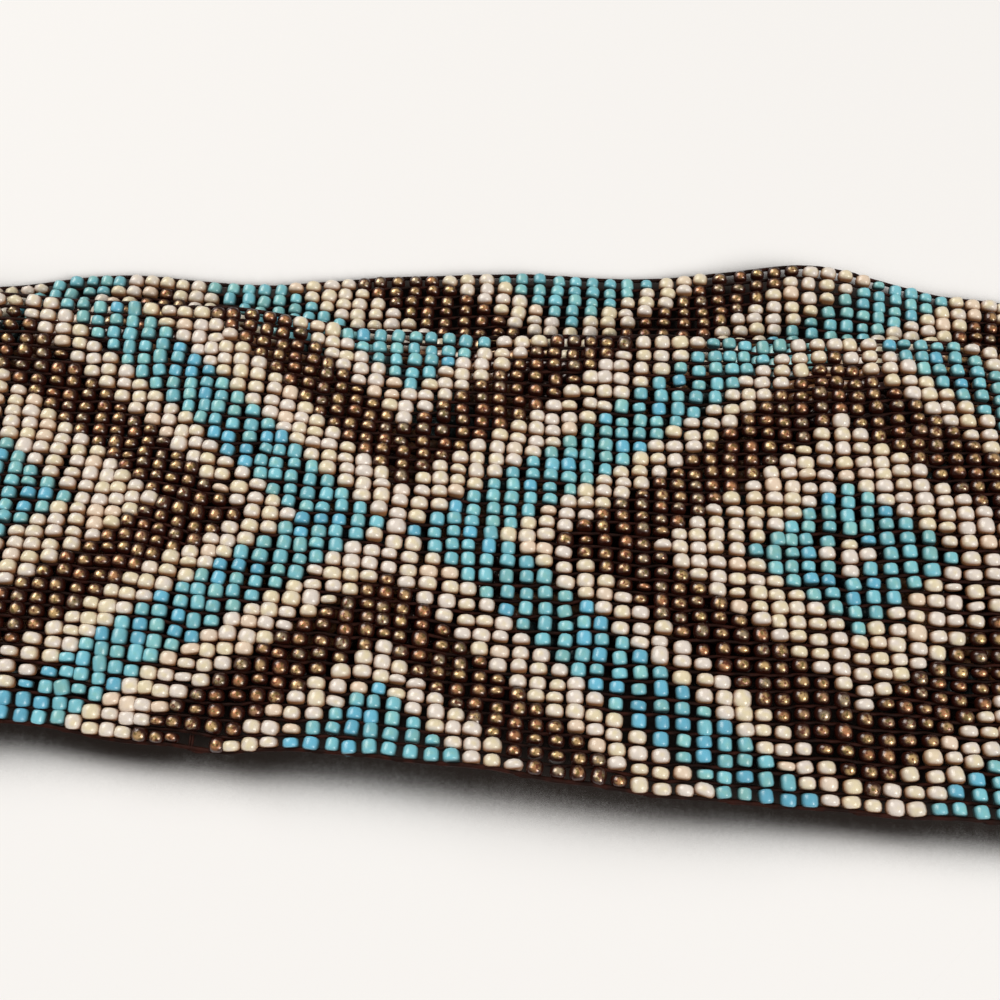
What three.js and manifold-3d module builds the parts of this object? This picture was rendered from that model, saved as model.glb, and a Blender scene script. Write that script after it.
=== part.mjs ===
// A loom-woven bead belt lying on a surface, folded once so that one ply lies on the other,
// with a leather tab on each end. The upper end's tab has a slot and the lower end's a metal hook.
// Millimetres, +Z up, X along the belt, the near edge of the belt towards -Y.
import * as THREE from 'three';
import createManifold from 'manifold-3d';

const manifoldModule = await createManifold();
manifoldModule.setup();
const { Manifold } = manifoldModule;

// Weave of the band
const columnPitch = 2.15;
const rowPitch = 1.7;
const rowCount = 33;
const repeatColumns = 48;
const repeatCount = 7;
const bandThickness = 2.1;
const bandWidth = rowCount * rowPitch;
const bandLength = (repeatColumns * repeatCount + 1) * columnPitch;
const repeatLength = repeatColumns * columnPitch;

// Fold of the band, measured on its middle surface
const foldShare = 0.487;
const foldRadius = 1.95;
const foldX = -90.6;
const pieceGap = 0.3;
const plyGap = 0.35;

// Leather tabs
const tabLength = 24;
const tabShoulder = 6;
const tabTipWidth = 40;
const tabCorner = 5;
const lapLength = 12;
const lapThickness = 1.2;
const slotLength = 29;
const slotWidth = 5.2;
const slotInset = 9;

// Metal hook
const hookWidth = 22;
const hookMetal = 1.2;
const hookGrip = 7;
const hookReach = 7;
const hookRadius = 2.3;
const hookLip = 1.5;

// Faceting
const sectionStep = 8.6;
const acrossCells = 10;
const foldCells = 10;
const curveSegments = 8;

// Where the plies lie
const foldAt = foldShare * bandLength;
const halfFold = Math.PI * foldRadius / 2;
const lowerHeight = bandThickness / 2;
const upperHeight = lowerHeight + bandThickness + plyGap;
const foldLift = 2 * foldRadius + lowerHeight - upperHeight;
const upperEnd = foldAt - halfFold;
const lowerEnd = bandLength - foldAt - halfFold;

// The ends rise together by the thickness of the lower tab's lap
const endRise = lapThickness + pieceGap;
const endRiseRun = 30;
const endRiseStart = Math.min(upperEnd, lowerEnd) - lapLength - endRiseRun;

// Sections of the plies. at: distance past the fold in pattern repeats. slide and skew: shift along
// the belt in column pitches, skew growing towards the far edge. shift and spread: the same across the
// belt in row pitches. lift: rise at the near edge, near quarter, middle, far quarter and far edge,
// as a share of the fold's lift.
const upperSections = [
  { at: 0.00, slide: 0.00, skew: 0.00, shift: 0.00, spread: 0.00, lift: [1.0, 1.0, 1.0, 1.0, 1.0] },
  { at: 0.33, slide: 0.40, skew: -0.45, shift: 0.25, spread: -0.30, lift: [0.7, 1.4, 1.1, 0.6, 1.5] },
  { at: 0.50, slide: 0.70, skew: -0.60, shift: 0.35, spread: -0.70, lift: [0.3, 1.8, 1.1, 0.3, 2.2] },
  { at: 0.67, slide: -0.05, skew: 0.00, shift: -0.10, spread: -0.35, lift: [0.0, 1.4, 1.3, 1.8, 2.7] },
  { at: 0.83, slide: -0.40, skew: -0.15, shift: -0.20, spread: -0.60, lift: [1.0, 1.1, 1.5, 1.2, 1.4] },
  { at: 1.00, slide: -0.35, skew: -0.10, shift: -0.20, spread: -0.25, lift: [1.7, 0.0, 0.9, 0.9, 1.6] },
  { at: 1.17, slide: -0.20, skew: -0.20, shift: -0.40, spread: 0.10, lift: [0.8, 1.5, 1.6, 0.6, 2.6] },
  { at: 1.33, slide: -0.20, skew: -0.40, shift: -0.10, spread: 0.25, lift: [0.0, 1.1, 1.2, 1.9, 2.7] },
  { at: 1.50, slide: 0.05, skew: -0.45, shift: 0.30, spread: 0.80, lift: [0.3, 0.0, 2.1, 2.5, 2.6] },
  { at: 1.67, slide: 0.10, skew: -0.40, shift: 0.10, spread: 0.35, lift: [0.9, 0.3, 1.7, 1.6, 1.4] },
  { at: 2.10, slide: 0.00, skew: -0.10, shift: 0.00, spread: 0.00, lift: [0.4, 0.8, 0.6, 0.3, 0.7] },
  { at: 2.60, slide: 0.00, skew: 0.00, shift: 0.20, spread: 0.00, lift: [0.2, 0.3, 0.5, 0.4, 0.3] },
  { at: 3.00, slide: 0.00, skew: 0.00, shift: 0.00, spread: 0.00, lift: [0.0, 0.0, 0.0, 0.0, 0.0] },
];
const lowerSections = [
  { at: 0.00, slide: 0.00, skew: 0.00, shift: 0.00, spread: 0.00, lift: [0, 0, 0, 0, 0.0] },
  { at: 0.33, slide: -0.45, skew: 0.00, shift: 2.50, spread: 0.00, lift: [0, 0, 0, 0, 0.0] },
  { at: 0.50, slide: -0.95, skew: 0.00, shift: 4.60, spread: 0.00, lift: [0, 0, 0, 0, 0.0] },
  { at: 0.67, slide: -1.20, skew: 0.00, shift: 4.35, spread: 0.00, lift: [0, 0, 0, 0, 0.2] },
  { at: 0.83, slide: -1.15, skew: 0.00, shift: 6.10, spread: 0.00, lift: [0, 0, 0, 0, 0.0] },
  { at: 1.00, slide: -0.60, skew: 0.00, shift: 7.15, spread: 0.00, lift: [0, 0, 0, 0, 0.4] },
  { at: 1.17, slide: 0.45, skew: 0.00, shift: 8.15, spread: 0.00, lift: [0, 0, 0, 0, 0.0] },
  { at: 1.33, slide: 1.30, skew: 0.00, shift: 9.20, spread: 0.00, lift: [0, 0, 0, 0, 1.6] },
  { at: 1.50, slide: 1.30, skew: 0.00, shift: 7.70, spread: 0.00, lift: [0, 0, 0, 0, 0.8] },
  { at: 1.67, slide: 1.00, skew: 0.00, shift: 7.60, spread: 0.00, lift: [0, 0, 0, 0, 0.2] },
  { at: 2.20, slide: 0.40, skew: 0.00, shift: 7.60, spread: 0.00, lift: [0, 0, 0, 0, 0.0] },
  { at: 2.80, slide: 0.00, skew: 0.00, shift: 7.60, spread: 0.00, lift: [0, 0, 0, 0, 0.0] },
];

// Smooth curve through values at rising knots, level at both ends and held beyond them
function smoothAt(knots, values, position) {
  const last = knots.length - 1;
  const place = Math.min(Math.max(position, knots[0]), knots[last]);
  let cell = 0;
  while (cell < last - 1 && place >= knots[cell + 1]) cell += 1;
  const slopeAt = (index) => (index === 0 || index === last
    ? 0
    : (values[index + 1] - values[index - 1]) / (knots[index + 1] - knots[index - 1]));
  return hermite(values, knots, cell, slopeAt(cell), slopeAt(cell + 1), place);
}

// Cubic piece between two knots with a given slope at each
function hermite(values, knots, cell, startSlope, endSlope, place) {
  const span = knots[cell + 1] - knots[cell];
  const t = (place - knots[cell]) / span;
  const rise = t * t * (3 - 2 * t);
  const leave = t * (1 - t) * (1 - t) * span;
  const arrive = t * t * (t - 1) * span;
  return values[cell] * (1 - rise) + values[cell + 1] * rise + startSlope * leave + endSlope * arrive;
}

// Lift across the band through its five values, sloping on to the edges and never below the rest height
function liftAcross(lift, side) {
  const knots = [-1, -0.5, 0, 0.5, 1];
  const last = knots.length - 1;
  const cell = Math.min(Math.max(Math.floor((side + 1) * 2), 0), last - 1);
  const slopeAt = (index) => {
    const before = Math.max(index - 1, 0);
    const after = Math.min(index + 1, last);
    return (lift[after] - lift[before]) / (knots[after] - knots[before]);
  };
  return Math.max(hermite(lift, knots, cell, slopeAt(cell), slopeAt(cell + 1), side), 0);
}

// One named column of a section table at a distance past the fold
function column(sections, name, past) {
  const knots = sections.map((section) => section.at * repeatLength);
  return smoothAt(knots, sections.map((section) => section[name]), past);
}

function endRiseAt(past) {
  const share = Math.min(Math.max((past - endRiseStart) / endRiseRun, 0), 1);
  return endRise * share * share * (3 - 2 * share);
}

// Point of a ply's middle surface, past the fold and across the band
function plyPoint(sections, height, past, across) {
  const side = across / (bandWidth / 2);
  const knots = sections.map((section) => section.at * repeatLength);
  const lift = [0, 1, 2, 3, 4].map((place) => (
    smoothAt(knots, sections.map((section) => section.lift[place]), past)));
  const slide = column(sections, 'slide', past) + column(sections, 'skew', past) * side;
  const shift = column(sections, 'shift', past) + column(sections, 'spread', past) * side;
  return new THREE.Vector3(
    foldX + past + slide * columnPitch,
    across + shift * rowPitch,
    height + liftAcross(lift, side) * foldLift + endRiseAt(past),
  );
}

// Point of the whole band's middle surface, along it from the upper free end
function bandPoint(along, across) {
  const fromFold = foldAt - along;
  const past = Math.abs(fromFold) - halfFold;
  if (past > 0 && fromFold > 0) return plyPoint(upperSections, upperHeight, past, across);
  if (past > 0) return plyPoint(lowerSections, lowerHeight, past, across);
  const turn = fromFold / foldRadius;
  return new THREE.Vector3(
    foldX - foldRadius * Math.cos(turn),
    across,
    lowerHeight + foldRadius * (1 + Math.sin(turn)),
  );
}

// Direction out of the band's face, which is up on the upper ply and down on the lower one
function bandNormal(along, across) {
  const reach = 0.2;
  const forward = bandPoint(along + reach, across).sub(bandPoint(along - reach, across));
  const sideways = bandPoint(along, across + reach).sub(bandPoint(along, across - reach));
  return sideways.cross(forward).normalize();
}

// Distances along the band at which it gets a section: close in the fold, even on the plies
function bandStations() {
  const stations = [];
  const addRun = (start, end, cells) => {
    for (let cell = 0; cell < cells; cell += 1) stations.push(start + (end - start) * cell / cells);
  };
  addRun(0, foldAt - halfFold, Math.ceil(upperEnd / sectionStep));
  addRun(foldAt - halfFold, foldAt + halfFold, foldCells);
  addRun(foldAt + halfFold, bandLength, Math.ceil(lowerEnd / sectionStep));
  stations.push(bandLength);
  return stations;
}

// The folded band as one closed ribbon: a loop of points round each section, and two ends
function bandGeometry() {
  const positions = [];
  const triangles = [];
  const stations = bandStations();
  const loopSize = 2 * (acrossCells + 1);
  for (const along of stations) {
    for (let place = 0; place < loopSize; place += 1) {
      const onFace = place <= acrossCells;
      const cell = onFace ? place : loopSize - 1 - place;
      const across = bandWidth * (cell / acrossCells - 0.5);
      const offset = (onFace ? 1 : -1) * bandThickness / 2;
      const point = bandPoint(along, across).addScaledVector(bandNormal(along, across), offset);
      positions.push(point.x, point.y, point.z);
    }
  }
  for (let station = 0; station < stations.length - 1; station += 1) {
    for (let place = 0; place < loopSize; place += 1) {
      const here = station * loopSize + place;
      const beside = station * loopSize + (place + 1) % loopSize;
      triangles.push(here, beside, here + loopSize);
      triangles.push(beside, beside + loopSize, here + loopSize);
    }
  }
  const lastLoop = (stations.length - 1) * loopSize;
  for (let cell = 0; cell < acrossCells; cell += 1) {
    const low = loopSize - 1 - cell;
    triangles.push(cell, low, cell + 1, cell + 1, low, low - 1);
    triangles.push(lastLoop + cell, lastLoop + cell + 1, lastLoop + low);
    triangles.push(lastLoop + cell + 1, lastLoop + low - 1, lastLoop + low);
  }
  const geometry = new THREE.BufferGeometry();
  geometry.setAttribute('position', new THREE.Float32BufferAttribute(positions, 3));
  geometry.setIndex(triangles);
  return geometry;
}

function shapeOf(points) {
  return new THREE.Shape(points.map(([x, y]) => new THREE.Vector2(x, y)));
}

// A shape drawn in plan, as a solid between two heights
function planSolid(shape, bottom, top) {
  const geometry = new THREE.ExtrudeGeometry(shape, {
    depth: top - bottom,
    bevelEnabled: false,
    curveSegments,
  });
  geometry.translate(0, 0, bottom);
  return solidOf(geometry);
}

// A shape drawn from the side (x along, y up), as a solid as wide as stated and centred across
function sideSolid(shape, width) {
  const geometry = new THREE.ExtrudeGeometry(shape, { depth: width, bevelEnabled: false, curveSegments });
  geometry.rotateX(Math.PI / 2);
  geometry.translate(0, width / 2, 0);
  return solidOf(geometry);
}

function solidOf(geometry) {
  const merged = mergeCorners(geometry);
  return new Manifold(new manifoldModule.Mesh({
    numProp: 3,
    vertProperties: new Float32Array(merged.positions),
    triVerts: new Uint32Array(merged.triangles),
  }));
}

// Corners at one place become one vertex, so that the solid closes
function mergeCorners(geometry) {
  const source = geometry.index ? geometry.toNonIndexed() : geometry;
  const places = source.getAttribute('position');
  const known = new Map();
  const positions = [];
  const corners = [];
  for (let corner = 0; corner < places.count; corner += 1) {
    const point = [places.getX(corner), places.getY(corner), places.getZ(corner)];
    const key = point.map((value) => Math.round(value * 1e4)).join(' ');
    if (!known.has(key)) {
      known.set(key, positions.length / 3);
      positions.push(...point);
    }
    corners.push(known.get(key));
  }
  const triangles = [];
  for (let first = 0; first < corners.length; first += 3) {
    const [a, b, c] = corners.slice(first, first + 3);
    if (a !== b && b !== c && c !== a) triangles.push(a, b, c);
  }
  return { positions, triangles };
}

function geometryOf(solid) {
  const mesh = solid.getMesh();
  const geometry = new THREE.BufferGeometry();
  geometry.setAttribute('position', new THREE.Float32BufferAttribute(mesh.vertProperties, mesh.numProp));
  geometry.setIndex(Array.from(mesh.triVerts));
  return geometry;
}

// Plan of a tab: as wide as the band at its lap, then tapered to a rounded tip
function tabPlan() {
  const half = bandWidth / 2;
  const tip = tabTipWidth / 2;
  const shape = new THREE.Shape();
  shape.moveTo(-lapLength, -half);
  shape.lineTo(tabShoulder, -half);
  shape.lineTo(tabLength - tabCorner, -tip);
  shape.quadraticCurveTo(tabLength, -tip, tabLength, -tip + tabCorner);
  shape.lineTo(tabLength, tip - tabCorner);
  shape.quadraticCurveTo(tabLength, tip, tabLength - tabCorner, tip);
  shape.lineTo(tabShoulder, half);
  shape.lineTo(-lapLength, half);
  shape.closePath();
  return shape;
}

// A tab's frame has x out from the band's end and z up from the band's middle. The tab's body butts
// against the band's end, and its lap covers the band's face, above the upper end or below the lower.
const bandTop = bandThickness / 2;
const bandBottom = -bandThickness / 2;
const upperTabTop = bandTop + pieceGap + lapThickness;
const lowerTabBottom = bandBottom - pieceGap - lapThickness;

// The side of a tab cut to its plan
function tabSolid(outline) {
  const side = sideSolid(shapeOf(outline), bandWidth);
  return side.intersect(planSolid(tabPlan(), lowerTabBottom - 1, upperTabTop + 1));
}

// The upper end's tab, with its lap above the band and a slot through it
function slotTabSolid() {
  const outline = [
    [-lapLength, upperTabTop - lapThickness],
    [pieceGap, upperTabTop - lapThickness],
    [pieceGap, bandBottom],
    [tabLength, bandBottom],
    [tabLength, upperTabTop],
    [-lapLength, upperTabTop],
  ];
  return tabSolid(outline).subtract(slotSolid());
}

// The lower end's tab, with its lap below the band and its tip thinned from below for the hook
function hookTabSolid() {
  const thinStart = tabLength - hookGrip - pieceGap;
  const thinBottom = lowerTabBottom + hookMetal + pieceGap;
  return tabSolid([
    [-lapLength, lowerTabBottom],
    [thinStart, lowerTabBottom],
    [thinStart, thinBottom],
    [tabLength, thinBottom],
    [tabLength, bandTop],
    [pieceGap, bandTop],
    [pieceGap, lowerTabBottom + lapThickness],
    [-lapLength, lowerTabBottom + lapThickness],
  ]);
}

// A slot across the tab, round at its ends
function slotSolid() {
  const radius = slotWidth / 2;
  const reach = slotLength / 2 - radius;
  const centre = tabLength - slotInset;
  const shape = new THREE.Shape();
  shape.absarc(centre, reach, radius, 0, Math.PI, false);
  shape.absarc(centre, -reach, radius, Math.PI, 2 * Math.PI, false);
  shape.closePath();
  return planSolid(shape, bandBottom - 1, upperTabTop + 1);
}

// The hook in its tab's frame: a channel pinched over the tab's thin tip, and a tongue
// that runs out below and turns up and back
function hookSolid() {
  const gripStart = tabLength - hookGrip;
  const wall = tabLength + pieceGap;
  const bend = wall + hookMetal + hookReach;
  const floor = lowerTabBottom + hookMetal;
  const ceiling = bandTop + pieceGap;
  const centre = floor + hookRadius;
  const outer = hookRadius + hookMetal;
  const shape = new THREE.Shape();
  shape.moveTo(gripStart, lowerTabBottom);
  shape.absarc(bend, centre, outer, -Math.PI / 2, Math.PI / 2, false);
  shape.lineTo(bend - hookLip, centre + outer);
  shape.lineTo(bend - hookLip, centre + hookRadius);
  shape.absarc(bend, centre, hookRadius, Math.PI / 2, -Math.PI / 2, true);
  shape.lineTo(wall + hookMetal, floor);
  shape.lineTo(wall + hookMetal, ceiling + hookMetal);
  shape.lineTo(gripStart, ceiling + hookMetal);
  shape.lineTo(gripStart, ceiling);
  shape.lineTo(wall, ceiling);
  shape.lineTo(wall, floor);
  shape.lineTo(gripStart, floor);
  shape.closePath();
  return sideSolid(shape, hookWidth);
}

function named(name, geometry, material) {
  const mesh = new THREE.Mesh(geometry, material);
  mesh.name = name;
  return mesh;
}

// A solid made in a tab's frame, moved to the end of the band at this distance along it
function atBandEnd(solid, along) {
  const end = bandPoint(along, 0);
  return geometryOf(solid).translate(end.x, end.y, end.z);
}

const beads = new THREE.MeshStandardMaterial({ color: 0x9a8468, roughness: 0.3, metalness: 0 });
const leather = new THREE.MeshStandardMaterial({ color: 0x3a2418, roughness: 0.7, metalness: 0 });
const metal = new THREE.MeshStandardMaterial({ color: 0xb08d4f, roughness: 0.35, metalness: 1 });

const belt = new THREE.Group();
belt.name = 'beaded_belt';
belt.add(named('bead_band', bandGeometry(), beads));
belt.add(named('slot_tab', atBandEnd(slotTabSolid(), 0), leather));
belt.add(named('hook_tab', atBandEnd(hookTabSolid(), bandLength), leather.clone()));
belt.add(named('clasp_hook', atBandEnd(hookSolid(), bandLength), metal));

// The origin is the middle of the base
const extent = new THREE.Box3().setFromObject(belt);
const middle = extent.getCenter(new THREE.Vector3());
for (const piece of belt.children) piece.geometry.translate(-middle.x, -middle.y, -extent.min.z);

export default belt;
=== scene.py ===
"""A loom-woven seed-bead belt, folded once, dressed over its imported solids.

The classes hold their sizes in millimetres, in the frame of the part's source. They turn into metres, in
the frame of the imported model, where a mesh is made.
"""

import logging
import math
from dataclasses import dataclass, field
from enum import Enum
from typing import Callable, Sequence

import bmesh
import bpy
import numpy as np
from mathutils import Matrix, Vector


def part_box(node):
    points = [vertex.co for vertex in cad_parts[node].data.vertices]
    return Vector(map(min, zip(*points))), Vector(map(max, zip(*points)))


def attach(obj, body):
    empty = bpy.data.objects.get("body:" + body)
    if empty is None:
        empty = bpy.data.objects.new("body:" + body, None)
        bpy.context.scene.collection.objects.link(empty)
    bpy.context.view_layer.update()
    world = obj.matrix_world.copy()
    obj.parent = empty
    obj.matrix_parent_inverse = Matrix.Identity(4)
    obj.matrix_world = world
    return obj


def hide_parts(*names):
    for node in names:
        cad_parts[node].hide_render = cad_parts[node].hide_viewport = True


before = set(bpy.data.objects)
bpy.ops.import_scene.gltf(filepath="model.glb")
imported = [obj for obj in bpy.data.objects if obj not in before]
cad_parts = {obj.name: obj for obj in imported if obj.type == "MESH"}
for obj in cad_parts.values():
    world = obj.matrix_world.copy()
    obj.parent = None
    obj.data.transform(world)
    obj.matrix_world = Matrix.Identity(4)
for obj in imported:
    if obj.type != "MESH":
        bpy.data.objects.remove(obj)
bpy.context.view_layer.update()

LOG = logging.getLogger("beaded_belt")
MM = 0.001
BODY = "root"
TRAITS = "bead_traits"
FORM = "bead_form"


# Layout of the band


@dataclass(frozen=True)
class Weave:
    """Counts and pitches of the loom weave."""

    column_pitch: float = 2.15
    row_pitch: float = 1.7
    rows: int = 33
    repeat_columns: int = 48
    repeats: int = 7
    thickness: float = 2.1

    @property
    def columns(self) -> int:
        """Number of bead columns along the belt."""
        return self.repeat_columns * self.repeats + 1

    @property
    def width(self) -> float:
        """Width of the band."""
        return self.rows * self.row_pitch

    @property
    def length(self) -> float:
        """Length of the band."""
        return self.columns * self.column_pitch

    @property
    def repeat_length(self) -> float:
        """Length of one pattern repeat."""
        return self.repeat_columns * self.column_pitch

    def along(self, column: np.ndarray) -> np.ndarray:
        """Distance along the band of the middle of a column, from the upper free end."""
        return (np.asarray(column, float) + 0.5) * self.column_pitch

    def across(self, row: np.ndarray) -> np.ndarray:
        """Place across the band of the middle of a row. Row 0 is at the far edge."""
        return (self.rows / 2 - 0.5 - np.asarray(row, float)) * self.row_pitch


@dataclass(frozen=True)
class Section:
    """One section of a ply.

    at is the distance past the fold in pattern repeats. slide and skew are shifts along the belt in column
    pitches, skew growing towards the far edge. shift and spread are the same across the belt in row pitches.
    lift is the rise at the near edge, near quarter, middle, far quarter and far edge, as a share of the
    fold's lift.
    """

    at: float
    slide: float
    skew: float
    shift: float
    spread: float
    lift: tuple[float, float, float, float, float]


UPPER_SECTIONS = (
    Section(0.00, 0.00, 0.00, 0.00, 0.00, (1.0, 1.0, 1.0, 1.0, 1.0)),
    Section(0.33, 0.40, -0.45, 0.25, -0.30, (0.7, 1.4, 1.1, 0.6, 1.5)),
    Section(0.50, 0.70, -0.60, 0.35, -0.70, (0.3, 1.8, 1.1, 0.3, 2.2)),
    Section(0.67, -0.05, 0.00, -0.10, -0.35, (0.0, 1.4, 1.3, 1.8, 2.7)),
    Section(0.83, -0.40, -0.15, -0.20, -0.60, (1.0, 1.1, 1.5, 1.2, 1.4)),
    Section(1.00, -0.35, -0.10, -0.20, -0.25, (1.7, 0.0, 0.9, 0.9, 1.6)),
    Section(1.17, -0.20, -0.20, -0.40, 0.10, (0.8, 1.5, 1.6, 0.6, 2.6)),
    Section(1.33, -0.20, -0.40, -0.10, 0.25, (0.0, 1.1, 1.2, 1.9, 2.7)),
    Section(1.50, 0.05, -0.45, 0.30, 0.80, (0.3, 0.0, 2.1, 2.5, 2.6)),
    Section(1.67, 0.10, -0.40, 0.10, 0.35, (0.9, 0.3, 1.7, 1.6, 1.4)),
    Section(2.10, 0.00, -0.10, 0.00, 0.00, (0.4, 0.8, 0.6, 0.3, 0.7)),
    Section(2.60, 0.00, 0.00, 0.20, 0.00, (0.2, 0.3, 0.5, 0.4, 0.3)),
    Section(3.00, 0.00, 0.00, 0.00, 0.00, (0.0, 0.0, 0.0, 0.0, 0.0)),
)
LOWER_SECTIONS = (
    Section(0.00, 0.00, 0.00, 0.00, 0.00, (0, 0, 0, 0, 0.0)),
    Section(0.33, -0.45, 0.00, 2.50, 0.00, (0, 0, 0, 0, 0.0)),
    Section(0.50, -0.95, 0.00, 4.60, 0.00, (0, 0, 0, 0, 0.0)),
    Section(0.67, -1.20, 0.00, 4.35, 0.00, (0, 0, 0, 0, 0.2)),
    Section(0.83, -1.15, 0.00, 6.10, 0.00, (0, 0, 0, 0, 0.0)),
    Section(1.00, -0.60, 0.00, 7.15, 0.00, (0, 0, 0, 0, 0.4)),
    Section(1.17, 0.45, 0.00, 8.15, 0.00, (0, 0, 0, 0, 0.0)),
    Section(1.33, 1.30, 0.00, 9.20, 0.00, (0, 0, 0, 0, 1.6)),
    Section(1.50, 1.30, 0.00, 7.70, 0.00, (0, 0, 0, 0, 0.8)),
    Section(1.67, 1.00, 0.00, 7.60, 0.00, (0, 0, 0, 0, 0.2)),
    Section(2.20, 0.40, 0.00, 7.60, 0.00, (0, 0, 0, 0, 0.0)),
    Section(2.80, 0.00, 0.00, 7.60, 0.00, (0, 0, 0, 0, 0.0)),
)


def hermite(values: np.ndarray, slopes: np.ndarray, knots: np.ndarray, place: np.ndarray) -> np.ndarray:
    """Cubic curve through values at rising knots.

    Args:
        values: Value at each knot, in the last axis.
        slopes: Slope at each knot, in the last axis.
        knots: Rising places.
        place: Where the curve is read, one place for each row of values, or for all rows of a single one.

    Returns:
        The curve's value at each place.
    """
    cell = np.clip(np.searchsorted(knots, place, side="right") - 1, 0, len(knots) - 2)
    rows = np.arange(len(place)) if values.ndim == 2 else None
    start = values[cell] if rows is None else values[rows, cell]
    end = values[cell + 1] if rows is None else values[rows, cell + 1]
    leaving = slopes[cell] if rows is None else slopes[rows, cell]
    arriving = slopes[cell + 1] if rows is None else slopes[rows, cell + 1]
    span = knots[cell + 1] - knots[cell]
    t = (place - knots[cell]) / span
    rise = t * t * (3 - 2 * t)
    leave = t * (1 - t) * (1 - t) * span
    arrive = t * t * (t - 1) * span
    return start * (1 - rise) + end * rise + leaving * leave + arriving * arrive


def smooth_at(knots: np.ndarray, values: np.ndarray, place: np.ndarray) -> np.ndarray:
    """Smooth curve through values at rising knots, level at both ends and held beyond them.

    Args:
        knots: Rising places.
        values: Value at each knot.
        place: Where the curve is read.

    Returns:
        The curve's value at each place.
    """
    held = np.clip(place, knots[0], knots[-1])
    slopes = np.zeros_like(values)
    slopes[1:-1] = (values[2:] - values[:-2]) / (knots[2:] - knots[:-2])
    return hermite(values, slopes, knots, held)


@dataclass(frozen=True)
class Ply:
    """One of the two layers of the folded band."""

    sections: tuple[Section, ...]
    height: float

    def column(self, weave: Weave, read: Callable[[Section], float], past: np.ndarray) -> np.ndarray:
        """One named column of the section table, at distances past the fold.

        Args:
            weave: The weave, for its repeat length.
            read: Takes the value out of a section.
            past: Distances past the fold.

        Returns:
            The smoothed value at each distance.
        """
        knots = np.array([section.at * weave.repeat_length for section in self.sections])
        values = np.array([read(section) for section in self.sections], float)
        return smooth_at(knots, values, past)

    def lift(self, weave: Weave, past: np.ndarray, side: np.ndarray) -> np.ndarray:
        """Rise over the rest height, never below it.

        Args:
            weave: The weave, for its repeat length.
            past: Distances past the fold.
            side: Places across the band, from -1 at the near edge to 1 at the far one.

        Returns:
            The rise at each place, as a share of the fold's lift.
        """
        columns = [self.column(weave, lambda section, i=i: section.lift[i], past) for i in range(5)]
        values = np.stack(columns, axis=1)
        knots = np.linspace(-1, 1, 5)
        slopes = np.gradient(values, knots, axis=1)
        return np.maximum(hermite(values, slopes, knots, side), 0)


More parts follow.
